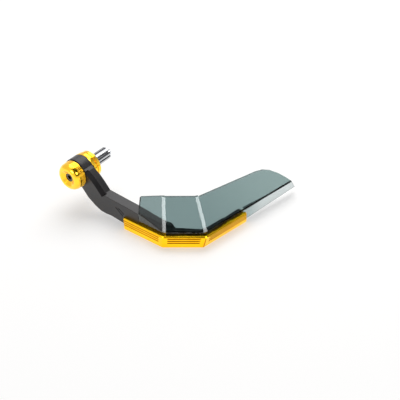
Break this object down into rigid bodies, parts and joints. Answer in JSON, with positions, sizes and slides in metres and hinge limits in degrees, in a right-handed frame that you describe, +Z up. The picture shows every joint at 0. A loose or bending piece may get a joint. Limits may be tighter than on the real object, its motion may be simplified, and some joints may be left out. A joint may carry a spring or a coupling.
{
  "type": "motorcycle hand guard",
  "caption": "Bar-end lever guard for a motorcycle: a lattice-backed arm on a bar-end expander carries a folded smoked wind deflector and a ribbed trim strip.",
  "frame": {"origin": "centre of the handlebar's end face, on the bar's axis", "axes": "+Y along the handlebar inward from its end, +X forward, +Z up"},
  "size_m": [0.2032, 0.1812, 0.0627],
  "materials": {
    "black_nylon": "moulded glass-filled nylon, fine grain, half-matt",
    "gold_anodised": "turned and anodised, bright gold",
    "bright_steel": "bright zinc plated steel",
    "dark_steel": "blackened steel",
    "smoke": "clear smoked polycarbonate, gloss"
  },
  "bodies": {
    "root": {"arm": "black_nylon", "end_cap": "gold_anodised", "inner_collar": "gold_anodised", "expander_sleeve": "bright_steel", "wedge_nut": "bright_steel", "centre_bolt": "dark_steel", "shield": "smoke", "trim_strip": "gold_anodised", "shield_screw_1": "bright_steel", "shield_screw_2": "bright_steel", "shield_screw_3": "bright_steel", "shield_screw_4": "bright_steel", "shield_screw_5": "bright_steel"}
  },
  "joints": []
}
